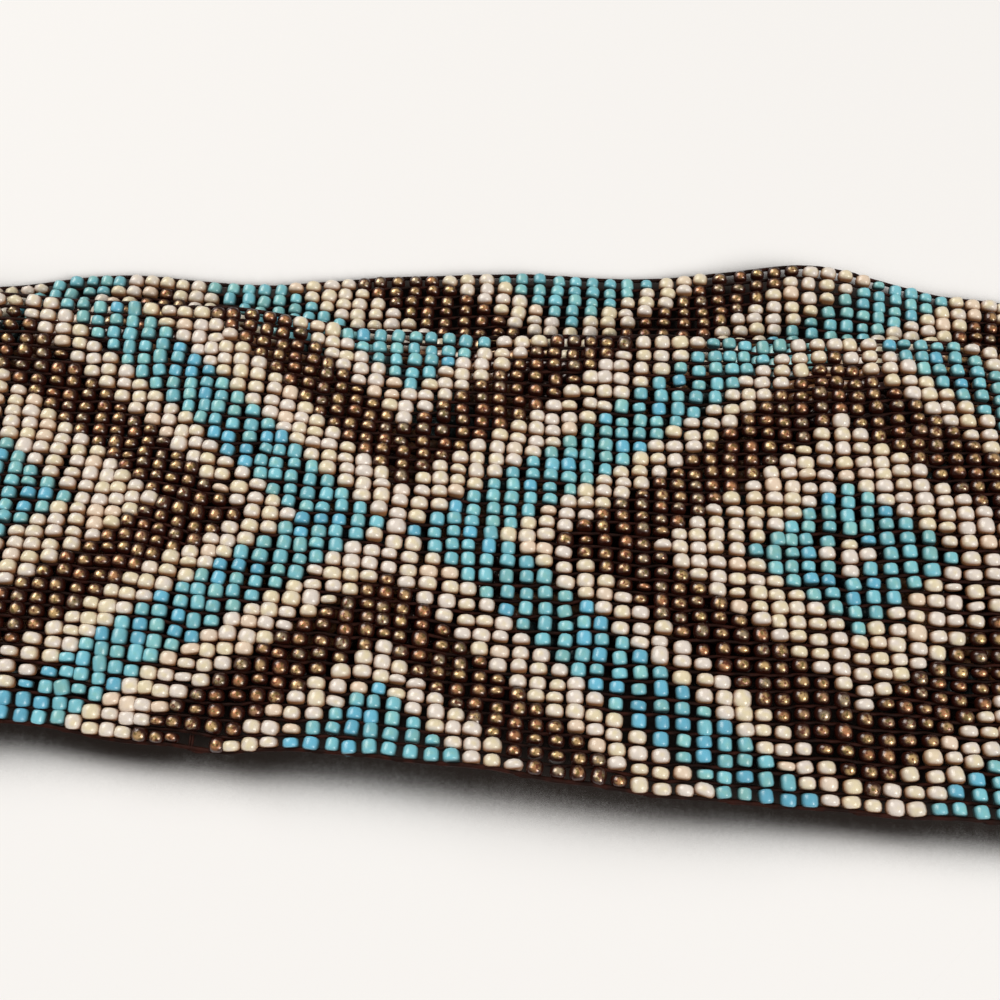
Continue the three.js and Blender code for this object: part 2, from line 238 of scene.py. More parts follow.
@dataclass(frozen=True)
class BandLayout:
    """Middle surface of the folded band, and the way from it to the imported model's frame."""

    weave: Weave = Weave()
    fold_share: float = 0.487
    fold_radius: float = 1.95
    fold_x: float = -90.6
    piece_gap: float = 0.3
    ply_gap: float = 0.35
    lap_length: float = 12.0
    lap_thickness: float = 1.2
    end_rise_run: float = 30.0

    @property
    def fold_at(self) -> float:
        """Distance along the band of the fold's outermost line."""
        return self.fold_share * self.weave.length

    @property
    def half_fold(self) -> float:
        """Half the length of band in the fold."""
        return math.pi * self.fold_radius / 2

    @property
    def lower(self) -> Ply:
        """The ply that lies on the surface."""
        return Ply(LOWER_SECTIONS, self.weave.thickness / 2)

    @property
    def upper(self) -> Ply:
        """The ply that lies on the lower one."""
        return Ply(UPPER_SECTIONS, self.lower.height + self.weave.thickness + self.ply_gap)

    @property
    def fold_lift(self) -> float:
        """Height of the upper ply at the fold over its rest height."""
        return 2 * self.fold_radius + self.lower.height - self.upper.height

    def end_rise(self, past: np.ndarray) -> np.ndarray:
        """Rise of both ends by the thickness of the lower tab's lap.

        Args:
            past: Distances past the fold.

        Returns:
            The rise at each distance.
        """
        upper_end = self.fold_at - self.half_fold
        lower_end = self.weave.length - self.fold_at - self.half_fold
        start = min(upper_end, lower_end) - self.lap_length - self.end_rise_run
        share = np.clip((past - start) / self.end_rise_run, 0, 1)
        return (self.lap_thickness + self.piece_gap) * share * share * (3 - 2 * share)

    def ply_point(self, ply: Ply, past: np.ndarray, across: np.ndarray) -> np.ndarray:
        """Points of a ply's middle surface.

        Args:
            ply: The ply.
            past: Distances past the fold.
            across: Places across the band.

        Returns:
            One point a row, in millimetres.
        """
        weave = self.weave
        side = across / (weave.width / 2)
        slide, skew, shift, spread = (
            ply.column(weave, lambda section, label=label: getattr(section, label), past)
            for label in ("slide", "skew", "shift", "spread")
        )
        x = self.fold_x + past + (slide + skew * side) * weave.column_pitch
        y = across + (shift + spread * side) * weave.row_pitch
        z = ply.height + ply.lift(weave, past, side) * self.fold_lift + self.end_rise(past)
        return np.stack([x, y, z], axis=1)

    def point(self, along: np.ndarray, across: np.ndarray) -> np.ndarray:
        """Points of the band's middle surface, in the source's frame.

        Args:
            along: Distances along the band from the upper free end.
            across: Places across the band.

        Returns:
            One point a row, in millimetres.
        """
        from_fold = self.fold_at - along
        past = np.maximum(np.abs(from_fold) - self.half_fold, 0)
        upper = self.ply_point(self.upper, past, across)
        lower = self.ply_point(self.lower, past, across)
        turn = from_fold / self.fold_radius
        bend = np.stack(
            [
                self.fold_x - self.fold_radius * np.cos(turn),
                across,
                self.lower.height + self.fold_radius * (1 + np.sin(turn)),
            ],
            axis=1,
        )
        plies = np.where((from_fold > 0)[:, None], upper, lower)
        return np.where((np.abs(from_fold) <= self.half_fold)[:, None], bend, plies)

    def axes(self, along: np.ndarray, across: np.ndarray) -> np.ndarray:
        """Unit directions at points of the band.

        Args:
            along: Distances along the band from the upper free end.
            across: Places across the band.

        Returns:
            One 3 by 3 matrix a row, whose columns run towards the upper end, across, and out of the face.
        """
        reach = 0.2
        forward = self.point(along - reach, across) - self.point(along + reach, across)
        sideways = self.point(along, across + reach) - self.point(along, across - reach)
        sideways /= np.linalg.norm(sideways, axis=1, keepdims=True)
        normal = np.cross(forward, sideways)
        normal /= np.linalg.norm(normal, axis=1, keepdims=True)
        return np.stack([np.cross(sideways, normal), sideways, normal], axis=2)

    def origin(self) -> np.ndarray:
        """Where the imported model's origin is.

        Returns:
            The point in the source's frame, in millimetres.
        """
        band_low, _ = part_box("bead_band")
        tab_low, tab_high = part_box("slot_tab")
        raw_low_x = self.fold_x - self.fold_radius - self.weave.thickness / 2
        middle_y = (tab_low.y + tab_high.y) / 2
        return np.array([raw_low_x - band_low.x / MM, -middle_y / MM, -band_low.z / MM])

    def placed(self, points: np.ndarray) -> np.ndarray:
        """Points of the source's frame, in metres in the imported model's frame."""
        return (points - self.origin()) * MM


# Bead pattern


class BeadKind(Enum):
    """The three kinds of bead."""

    TURQUOISE = "turquoise"
    CREAM = "cream"
    BROWN = "brown"


@dataclass(frozen=True)
class Pattern:
    """Nested V bands round X centres.

    Each band table gives the last step that a kind reaches, counted from a centre's diagonal: side_bands
    along the belt, upright_bands towards the edges.
    """

    side_bands: tuple[tuple[int, BeadKind], ...] = (
        (5, BeadKind.TURQUOISE),
        (8, BeadKind.CREAM),
        (13, BeadKind.BROWN),
        (18, BeadKind.CREAM),
        (22, BeadKind.TURQUOISE),
        (24, BeadKind.CREAM),
    )
    upright_bands: tuple[tuple[int, BeadKind], ...] = (
        (3, BeadKind.CREAM),
        (8, BeadKind.BROWN),
        (11, BeadKind.CREAM),
        (16, BeadKind.TURQUOISE),
    )

    def kind(self, weave: Weave, column: int, row: int) -> BeadKind:
        """The kind of a bead.

        Args:
            weave: The weave, for its repeat and its rows.
            column: The bead's column.
            row: The bead's row.

        Returns:
            The kind that the pattern gives it.
        """
        half = weave.repeat_columns // 2
        from_centre = abs((column % weave.repeat_columns) - half)
        from_middle = abs(row - weave.rows // 2)
        step = from_centre - from_middle
        bands = self.side_bands if step > 0 else self.upright_bands
        for last, kind in bands:
            if abs(step) <= last:
                return kind
        return bands[-1][1]


# Beads


def settle(piece: bpy.types.Object, finish: "Finish", replaced: str | None = None) -> None:
    """Dresses a finished piece, binds it to the belt and reports it.

    Args:
        piece: The finished piece.
        finish: Its finish.
        replaced: The CAD node that it stands for, if it stands for one.
    """
    finish.dress(piece)
    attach(piece, BODY)
    if replaced:
        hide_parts(replaced)
    piece.data.calc_loop_triangles()
    LOG.info("%s: %d triangles", piece.name, len(piece.data.loop_triangles))


@dataclass(frozen=True)
class BeadShape:
    """The mesh of one bead: its hole along Y, its face up."""

    points: np.ndarray
    faces: list[list[int]]


@dataclass(frozen=True)
class BeadForm:
    """A seed bead: a short cylinder with rounded rims."""

    over: float
    length: float
    rounding: float

    def build(self, sides: int, rim_steps: int) -> BeadShape:
        """Models one bead and takes its mesh.

        Args:
            sides: Number of sides round the hole.
            rim_steps: Number of faces in the rounding of a rim.

        Returns:
            The bead's mesh, in millimetres.
        """
        bpy.ops.object.select_all(action="DESELECT")
        bpy.ops.mesh.primitive_cylinder_add(
            vertices=sides,
            radius=self.over / 2,
            depth=self.length,
            end_fill_type="NGON",
            rotation=(math.pi / 2, 0, 0),
        )
        bead = bpy.context.object
        bpy.ops.object.transform_apply(location=True, rotation=True, scale=True)
        bpy.ops.object.mode_set(mode="EDIT")
        bpy.ops.mesh.select_all(action="DESELECT")
        mesh = bmesh.from_edit_mesh(bead.data)
        for edge in mesh.edges:
            edge.select = any(len(face.verts) > 4 for face in edge.link_faces)
        bmesh.update_edit_mesh(bead.data)
        bpy.ops.mesh.bevel(offset=self.rounding, segments=rim_steps, profile=0.5, affect="EDGES")
        bpy.ops.object.mode_set(mode="OBJECT")
        points = np.array([vertex.co[:] for vertex in bead.data.vertices])
        faces = [list(face.vertices) for face in bead.data.polygons]
        mesh_data = bead.data
        bpy.data.objects.remove(bead)
        bpy.data.meshes.remove(mesh_data)
        return BeadShape(points, faces)


@dataclass(frozen=True)
class Unevenness:
    """How much beads and their stringing differ.

    Spreads are standard deviations, of places in millimetres and of sizes as shares. wander is shared by
    neighbours, as far as reach, in columns and rows.
    """

    over: float = 0.045
    length: float = 0.11
    place: float = 0.085
    tilt: float = 0.08
    odd_share: float = 0.06
    odd_growth: float = 0.24
    slack: float = 0.25
    wander: tuple[float, float] = (0.18, 0.19)
    reach: tuple[float, float] = (0.95, 1.6)

    def field(self, random: np.random.Generator, shape: tuple[int, int]) -> np.ndarray:
        """Smooth random numbers of unit spread, one for each column and row.

        Args:
            random: The random source.
            shape: The number of columns and of rows.

        Returns:
            The numbers.
        """
        numbers = random.normal(size=shape)
        steps = np.arange(-5, 6)
        for axis, reach in enumerate(self.reach):
            kernel = np.exp(-((steps / reach) ** 2) / 2)
            numbers = np.apply_along_axis(np.convolve, axis, numbers, kernel, mode="same")
        return numbers / numbers.std()


@dataclass(frozen=True)
class Stray:
    """A bead that has slipped aside, in columns along the band and rows across it."""

    column: int
    row: int
    columns_aside: float
    rows_aside: float


@dataclass(frozen=True)
class Stringing:
    """Every bead of the band: one line of each array is a column, one place in it a row.

    covered is how far a bead of the lower ply lies under the upper one, from 0 to 1; it puts painted shade on
    the inner face of covered opaque beads.
    """

    kinds: np.ndarray
    lengths: np.ndarray
    across: np.ndarray
    along: np.ndarray
    covered: np.ndarray


@dataclass
class BeadKindSet:
    """All the beads of one kind, near the camera in full detail and elsewhere with fewer faces."""

    kind: BeadKind
    form: BeadForm
    seed: int
    near_sides: int = 10
    near_rim_steps: int = 2
    far_sides: int = 6
    far_rim_steps: int = 1

    def placement(
        self, layout: BandLayout, strung: Stringing, cells: tuple[np.ndarray, np.ndarray], uneven: Unevenness
    ) -> tuple[np.ndarray, np.ndarray, np.ndarray]:
        """Where each bead lies.

        Args:
            layout: The band's layout.
            strung: The band's beads.
            cells: The columns and the rows of this kind's beads.
            uneven: How much the beads differ.

        Returns:
            Middles in millimetres, 3 by 3 matrices that turn and size the bead, and traits from 0 to 1.
        """
        random = np.random.default_rng(self.seed)
        along, across = strung.along[cells], strung.across[cells]
        count = len(along)
        axes = layout.axes(along, across)
        nudge = random.normal(0, uneven.place, (count, 3)) * (1.0, 1.0, 0.6)
        middles = layout.point(along, across) + np.einsum("nij,nj->ni", axes, nudge)
        turns = random.normal(0, uneven.tilt, (count, 2))
        tilt = np.zeros((count, 3, 3))
        tilt[:, range(3), range(3)] = 1
        tilt[:, 0, 1], tilt[:, 1, 0] = turns[:, 0], -turns[:, 0]
        tilt[:, 1, 2], tilt[:, 2, 1] = turns[:, 1], -turns[:, 1]
        over = 1 + random.normal(0, uneven.over, count)
        size = np.stack([over, strung.lengths[cells] / self.form.length, over], axis=1)
        matrices = axes @ tilt * size[:, None, :]
        return middles, matrices, random.random((count, 3))

    def build(
        self, layout: BandLayout, strung: Stringing, near: np.ndarray, uneven: Unevenness
    ) -> list[bpy.types.Object]:
        """Builds the near and the far beads as two joined meshes.

        Args:
            layout: The band's layout.
            strung: The band's beads.
            near: Whether each bead is near the camera, in columns and rows.
            uneven: How much the beads differ.

        Returns:
            The two pieces.
        """
        cells = np.nonzero(strung.kinds == list(BeadKind).index(self.kind))
        middles, matrices, traits = self.placement(layout, strung, cells, uneven)
        close = near[cells]
        pieces = []
        for label, chosen, sides, steps in (
            ("near", close, self.near_sides, self.near_rim_steps),
            ("far", ~close, self.far_sides, self.far_rim_steps),
        ):
            shape = self.form.build(sides, steps)
            name = f"{self.kind.value}_beads_{label}"
            points = np.einsum("nij,vj->nvi", matrices[chosen], shape.points) + middles[chosen][:, None, :]
            placed = layout.placed(points.reshape(-1, 3))
            pieces.append(joined_copies(name, placed, shape, traits[chosen], strung.covered[cells][chosen]))
        return pieces


def joined_copies(
    name: str, points: np.ndarray, shape: BeadShape, traits: np.ndarray, covered: np.ndarray
) -> bpy.types.Object:
    """Makes one mesh of many copies of a bead.

    Args:
        name: The piece's name.
        points: The points of all the copies, one copy after another, in metres.
        shape: The bead that is copied, for its faces.
        traits: Three numbers from 0 to 1 for each copy, kept on its points.
        covered: How far each copy is covered by another ply, from 0 to 1, kept on its points.

    Returns:
        The new object.
    """
    copies = len(traits)
    corners = np.concatenate([np.array(face) for face in shape.faces])
    sizes = np.array([len(face) for face in shape.faces])
    starts = np.concatenate([[0], np.cumsum(sizes)[:-1]])
    step = len(shape.points)
    mesh = bpy.data.meshes.new(name)
    mesh.vertices.add(len(points))
    mesh.vertices.foreach_set("co", points.astype(np.float32).ravel())
    mesh.loops.add(len(corners) * copies)
    offsets = np.arange(copies)[:, None]
    mesh.loops.foreach_set("vertex_index", (corners[None, :] + offsets * step).astype(np.int32).ravel())
    mesh.polygons.add(len(sizes) * copies)
    loop_starts = starts[None, :] + offsets * len(corners)
    mesh.polygons.foreach_set("loop_start", loop_starts.astype(np.int32).ravel())
    mesh.update(calc_edges=True)
    form = shape.points / np.abs(shape.points).max(axis=0) / 2 + 0.5
    for label, values in ((TRAITS, np.repeat(traits, step, axis=0)), (FORM, np.tile(form, (copies, 1)))):
        colours = np.empty((len(points), 4), np.float32)
        colours[:, :3] = values
        colours[:, 3] = np.repeat(covered, step)
        attribute = mesh.attributes.new(label, "FLOAT_COLOR", "POINT")
        attribute.data.foreach_set("color", colours.ravel())
    mesh.polygons.foreach_set("use_smooth", np.ones(len(sizes) * copies, bool))
    mesh.validate()
    piece = bpy.data.objects.new(name, mesh)
    bpy.context.collection.objects.link(piece)
    return piece


@dataclass
class BeadBand:
    """The beads of the whole band, in the pattern's kinds."""

    layout: BandLayout
    pattern: Pattern = Pattern()
    uneven: Unevenness = Unevenness()
    seed: int = 5
    detail_from_x: float = -50.0
    detail_to_x: float = 80.0
    shown_lower_rows: int = 10
    cover_run: float = 1.5
    missing: tuple[tuple[int, int], ...] = ((129, 32),)
    strays: tuple[Stray, ...] = (Stray(128, 32, -0.35, -0.1),)
    kinds: tuple[BeadKindSet, ...] = (
        BeadKindSet(BeadKind.TURQUOISE, BeadForm(1.70, 1.37, 0.29), seed=11),
        BeadKindSet(BeadKind.CREAM, BeadForm(2.03, 1.37, 0.42), seed=23),
        BeadKindSet(BeadKind.BROWN, BeadForm(1.84, 1.38, 0.44), seed=37),
    )

    def strung(self) -> Stringing:
        """Strings the beads of each column. Longer beads push the others of their column aside.

        Returns:
            Every bead's kind, length and place.
        """
        weave, uneven = self.layout.weave, self.uneven
        random = np.random.default_rng(self.seed)
        order = list(BeadKind)
        kinds = np.array(
            [
                [order.index(self.pattern.kind(weave, column, row)) for row in range(weave.rows)]
                for column in range(weave.columns)
            ]
        )
        usual = np.array([kind_set.form.length for kind_set in self.kinds])[kinds]
        odd = np.where(random.random(kinds.shape) < uneven.odd_share, uneven.odd_growth, 0.0)
        odd -= np.where(random.random(kinds.shape) < uneven.odd_share, uneven.odd_growth, 0.0)
        lengths = usual * (1 + odd + np.clip(random.normal(0, uneven.length, kinds.shape), -0.28, 0.28))
        spare = (weave.width - lengths.sum(axis=1, keepdims=True)) / weave.rows
        packed = weave.width / 2 - (np.cumsum(lengths + spare, axis=1) - (lengths + spare) / 2)
        regular = weave.across(np.arange(weave.rows))[None, :]
        across = regular + (packed - regular) * uneven.slack
        across = across + uneven.wander[1] * uneven.field(random, kinds.shape)
        along = np.repeat(weave.along(np.arange(weave.columns))[:, None], weave.rows, axis=1)
        along = along + uneven.wander[0] * uneven.field(random, kinds.shape)
        for stray in self.strays:
            along[stray.column, stray.row] += stray.columns_aside * weave.column_pitch
            across[stray.column, stray.row] += stray.rows_aside * weave.row_pitch
        for column, row in self.missing:
            kinds[column, row] = -1
        return Stringing(kinds, lengths, across, along, self.covered(along, across))

    def covered(self, along: np.ndarray, across: np.ndarray) -> np.ndarray:
        """How far each bead of the lower ply lies under the upper one.

        Args:
            along: Each bead's distance along the band.
            across: Each bead's place across it.

        Returns:
            A share from 0 to 1 for each bead.
        """
        fold_at, half_width = self.layout.fold_at, self.layout.weave.width / 2
        edge_along = np.linspace(0, fold_at, 500)
        edge = self.layout.point(edge_along, np.full(len(edge_along), half_width))[::-1]
        points = self.layout.point(along.ravel(), across.ravel())
        edge_y = np.interp(points[:, 0], edge[:, 0], edge[:, 1], right=-half_width * 4)
        under = np.clip((edge_y - points[:, 1]) / self.cover_run, 0, 1)
        return under.reshape(along.shape) * (along > fold_at)

    def is_near(self, strung: Stringing) -> np.ndarray:
        """Whether each bead is where the camera looks closely.

        Args:
            strung: The band's beads.

        Returns:
            True or false for each column and row.
        """
        x = self.layout.point(strung.along.ravel(), strung.across.ravel())[:, 0].reshape(strung.along.shape)
        in_view = (x > self.detail_from_x) & (x < self.detail_to_x)
        on_top = strung.along < self.layout.fold_at
        at_far_edge = np.arange(self.layout.weave.rows)[None, :] < self.shown_lower_rows
        return in_view & (on_top | at_far_edge)

    def build(self, strung: Stringing, finishes: dict[BeadKind, "Finish"]) -> list[bpy.types.Object]:
        """Builds and dresses the beads.

        Args:
            strung: The band's beads.
            finishes: The finish of each kind.

        Returns:
            The new pieces.
        """
        near = self.is_near(strung)
        pieces: list[bpy.types.Object] = []
        for kind_set in self.kinds:
            for piece in kind_set.build(self.layout, strung, near, self.uneven):
                settle(piece, finishes[kind_set.kind], "bead_band")
                pieces.append(piece)
        return pieces


# Threads


def tubes(name: str, paths: Sequence[np.ndarray], sides_at: Sequence[np.ndarray], radius: float,
          layout: BandLayout, sides: int) -> bpy.types.Object:
    """Makes one mesh of round tubes along paths.

    Args:
        name: The piece's name.
        paths: The points of each tube's middle line, in millimetres.
        sides_at: Two unit directions across each tube at each of its points, points by 2 by 3.
        radius: The tubes' radius.
        layout: The band's layout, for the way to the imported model's frame.
        sides: The number of sides.

    Returns:
        The new object.
    """
    angles = np.arange(sides) * 2 * math.pi / sides
    ring = np.stack([np.cos(angles), np.sin(angles)], axis=1) * radius
    points: list[np.ndarray] = []
    faces: list[tuple[int, ...]] = []
    start = 0
    for path, directions in zip(paths, sides_at):
        loops = path[:, None, :] + np.einsum("sk,pkj->psj", ring, directions)
        points.append(loops.reshape(-1, 3))
        for step in range(len(path) - 1):
            here = start + step * sides
            for side in range(sides):
                beside = (side + 1) % sides
                faces.append((here + side, here + beside, here + sides + beside, here + sides + side))
        faces.append(tuple(start + side for side in reversed(range(sides))))
        faces.append(tuple(start + (len(path) - 1) * sides + side for side in range(sides)))
        start += len(path) * sides
    mesh = bpy.data.meshes.new(name)
    mesh.from_pydata(layout.placed(np.concatenate(points)), [], faces)
    mesh.polygons.foreach_set("use_smooth", np.ones(len(faces), bool))
    mesh.update()
    piece = bpy.data.objects.new(name, mesh)
    bpy.context.collection.objects.link(piece)
    bpy.ops.object.select_all(action="DESELECT")
    bpy.context.view_layer.objects.active = piece
    bpy.ops.object.mode_set(mode="EDIT")
    bpy.ops.mesh.select_all(action="SELECT")
    bpy.ops.mesh.normals_make_consistent(inside=False)
    bpy.ops.object.mode_set(mode="OBJECT")
    return piece


@dataclass
class Threads:
    """The warp threads between the bead rows, and the weft's turns at the band's edges."""

    layout: BandLayout
    strung: Stringing
    warp_radius: float = 0.22
    edge_warp_radius: float = 0.28
    warp_sides: int = 5
    weft_radius: float = 0.15
    weft_sides: int = 4
    turn_reach: float = 0.35
    edge_gap: float = 0.1

    def edge_line(self, side: int) -> np.ndarray:
        """How far across the band its edge thread runs at each column, close against the last beads.

        Args:
            side: 1 for the far edge and -1 for the near one.

        Returns:
            One place for each column.
        """
        row = 0 if side > 0 else -1
        ends = side * self.strung.across[:, row] + self.strung.lengths[:, row] / 2
        beside = np.stack([np.roll(ends, 1), ends, np.roll(ends, -1)])
        return side * (beside.mean(axis=0) + self.edge_gap)

    def build_warps(self) -> list[bpy.types.Object]:
        """Builds one thread in each gap between rows, and a thicker one along each edge.

        Returns:
            The two new pieces.
        """
        weave = self.layout.weave
        columns = np.arange(weave.columns)
        middles = (self.strung.across[:, :-1] + self.strung.across[:, 1:]) / 2
        lines = [(middles[:, line], self.warp_radius) for line in range(weave.rows - 1)]
        lines += [(self.edge_line(side), self.edge_warp_radius) for side in (1, -1)]
        threads = []
        for name, radius in (("warp_threads", self.warp_radius), ("edge_threads", self.edge_warp_radius)):
            paths, directions = [], []
            for across, thickness in lines:
                if thickness == radius:
                    along = np.concatenate([[0], weave.along(columns), [weave.length]])
                    places = np.concatenate([across[:1], across, across[-1:]])
                    axes = self.layout.axes(along, places)
                    paths.append(self.layout.point(along, places))
                    directions.append(np.stack([axes[:, :, 1], axes[:, :, 2]], axis=1))
            threads.append(tubes(name, paths, directions, radius, self.layout, self.warp_sides))
        return threads

    def build_turns(self) -> bpy.types.Object:
        """Builds the weft's turn from each column to the next, at one edge and then the other.

        Returns:
            The new piece.
        """
        weave = self.layout.weave
        steps = np.linspace(0, math.pi, 6)
        paths, directions = [], []
        edges = {side: self.edge_line(side) for side in (1, -1)}
        for column in range(weave.columns - 1):
            edge = 1 if column % 2 else -1
            along = weave.along(column) + weave.column_pitch * (1 - np.cos(steps)) / 2
            across = edges[edge][column] + edge * self.turn_reach * (np.sin(steps) - 0.5)
            axes = self.layout.axes(along, across)
            paths.append(self.layout.point(along, across))
            directions.append(np.stack([axes[:, :, 1], axes[:, :, 2]], axis=1))
        return tubes("weft_turns", paths, directions, self.weft_radius, self.layout, self.weft_sides)

    def build_bare_weft(self, missing: Sequence[tuple[int, int]]) -> bpy.types.Object:
        """The weft where beads are missing.

        Args:
            missing: The column and row of each missing bead.

        Returns:
            The new object.
        """
        weave = self.layout.weave
        paths, directions = [], []
        for column, row in missing:
            across = weave.across(row) + np.linspace(-0.5, 0.5, 4) * weave.row_pitch
            for strand in (-1, 1):
                along = np.full(len(across), weave.along(column)) + strand * self.weft_radius
                axes = self.layout.axes(along, across)
                paths.append(self.layout.point(along, across))
                directions.append(np.stack([axes[:, :, 0], axes[:, :, 2]], axis=1))
        return tubes("bare_weft", paths, directions, self.weft_radius, self.layout, self.weft_sides)

    def build(self, missing: Sequence[tuple[int, int]], finish: "Finish") -> list[bpy.types.Object]:
        """Builds and dresses all the threads.

        Args:
            missing: The column and row of each missing bead.
            finish: The threads' finish.

        Returns:
            The new pieces.
        """
        pieces = [*self.build_warps(), self.build_turns(), self.build_bare_weft(missing)]
        for piece in pieces:
            settle(piece, finish)
        return pieces


# Leather tabs and hook


@dataclass
class RigidPiece:
    """A CAD solid that is shown with softened edges."""

    node: str
    name: str
    slot: str
    bevel: float
    bevel_steps: int = 2
    sharp_angle: float = math.radians(35)

    def build(self, finish: "Finish") -> bpy.types.Object:
        """Copies the solid, merges it, rounds its edges and dresses it.

        Args:
            finish: The piece's finish.

        Returns:
            The new object.
        """
        bpy.ops.object.select_all(action="DESELECT")
        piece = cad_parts[self.node].copy()
        piece.data = piece.data.copy()
        piece.parent = None
        piece.name = self.name
        piece.data.name = self.name
        piece.data.materials.clear()
        bpy.context.collection.objects.link(piece)
        piece.select_set(True)
        bpy.context.view_layer.objects.active = piece
        bpy.ops.object.mode_set(mode="EDIT")
        bpy.ops.mesh.select_all(action="SELECT")
        bpy.ops.mesh.remove_doubles(threshold=1e-6)
        bpy.ops.mesh.dissolve_limited(angle_limit=math.radians(1))
        bpy.ops.object.mode_set(mode="OBJECT")
        rounding = piece.modifiers.new("rounding", "BEVEL")
        rounding.width = self.bevel * MM
        rounding.segments = self.bevel_steps
        rounding.limit_method = "ANGLE"
        rounding.angle_limit = self.sharp_angle
        rounding.use_clamp_overlap = True
        bpy.ops.object.modifier_apply(modifier="rounding")
        bpy.ops.object.shade_smooth_by_angle(angle=self.sharp_angle)
        settle(piece, finish, self.node)
        return piece


@dataclass
class Seam:
    """Rows of stitches across the slotted tab, where it laps the band."""

    layout: BandLayout
    row_places: tuple[float, ...] = (2.4, 9.6)
    stitch: float = 3.0
    pitch: float = 4.2
    end_margin: float = 3.0
    radius: float = 0.26
    rise: float = 0.18
    sink: float = 0.3
    sides: int = 6
    steps: int = 7

    def build(self, finish: "Finish") -> bpy.types.Object:
        """Builds and dresses the stitches.

        Args:
            finish: The thread's finish.

        Returns:
            The new object.
        """
        low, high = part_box("slot_tab")
        origin = self.layout.origin()
        corner = np.array(low) / MM + origin
        width = (high.y - low.y) / MM
        top = high.z / MM + origin[2]
        share = np.linspace(0, 1, self.steps)
        height = top - self.sink + (self.sink + self.rise) * np.sqrt(np.sin(math.pi * share))
        count = int((width - 2 * self.end_margin) / self.pitch)
        paths, directions = [], []
        for place in self.row_places:
            for number in range(count):
                start = corner[1] + (width - (count - 1) * self.pitch - self.stitch) / 2 + number * self.pitch
                x = np.full(self.steps, corner[0] + place)
                paths.append(np.stack([x, start + share * self.stitch, height], axis=1))
                directions.append(np.tile([[[1.0, 0.0, 0.0], [0.0, 0.0, 1.0]]], (self.steps, 1, 1)))
        piece = tubes("tab_stitches", paths, directions, self.radius, self.layout, self.sides)
        settle(piece, finish)
        return piece


# Shader arithmetic


class Value:
    """A shader socket that takes part in Python arithmetic."""

    def __init__(self, graph: "Graph", socket: bpy.types.NodeSocket) -> None:
        """Wraps an output socket of a graph."""
        self.graph = graph
        self.socket = socket

    def _math(self, operation: str, first: "Value | float", second: "Value | float") -> "Value":
        """Adds a Math node.

        Args:
            operation: The node's operation.
            first: Its first value.
            second: Its second value.

        Returns:
            The node's output.
        """
        node = self.graph.node("ShaderNodeMath", {"operation": operation}, {0: first, 1: second})
        return Value(self.graph, node.outputs[0])

    def __add__(self, other: "Value | float") -> "Value":
        """self + other."""
        return self._math("ADD", self, other)

    def __radd__(self, other: float) -> "Value":
        """other + self."""
        return self._math("ADD", other, self)

    def __sub__(self, other: "Value | float") -> "Value":
        """self - other."""
        return self._math("SUBTRACT", self, other)

    def __rsub__(self, other: float) -> "Value":
        """other - self."""
        return self._math("SUBTRACT", other, self)

    def __mul__(self, other: "Value | float") -> "Value":
        """self * other."""
        return self._math("MULTIPLY", self, other)

    def __rmul__(self, other: float) -> "Value":
        """other * self."""
        return self._math("MULTIPLY", other, self)

    def __truediv__(self, other: "Value | float") -> "Value":
        """self / other."""
        return self._math("DIVIDE", self, other)

    def __rtruediv__(self, other: float) -> "Value":
        """other / self."""
        return self._math("DIVIDE", other, self)

    def __pow__(self, other: "Value | float") -> "Value":
        """self to the power other."""
        return self._math("POWER", self, other)

    def __rpow__(self, other: float) -> "Value":
        """other to the power self."""
        return self._math("POWER", other, self)

    def __abs__(self) -> "Value":
        """Its size without its sign."""
        return self._math("ABSOLUTE", self, 0.0)

    def over(self, edge: float, width: float) -> "Value":
        """A soft step.

        Args:
            edge: Where the step's middle is.
            width: How wide it is.

        Returns:
            0 below the step and 1 above it.
        """
        node = self.graph.node(
            "ShaderNodeMapRange",
            {"interpolation_type": "SMOOTHSTEP"},
            {"Value": self, "From Min": edge - width / 2, "From Max": edge + width / 2},
        )
        return Value(self.graph, node.outputs["Result"])


Colour = tuple[float, float, float]


def linear(colour: Colour) -> tuple[float, float, float, float]:
    """A screen colour as the linear colour that a shader takes."""
    parts = [c / 12.92 if c <= 0.04045 else ((c + 0.055) / 1.055) ** 2.4 for c in colour]
    return parts[0], parts[1], parts[2], 1.0


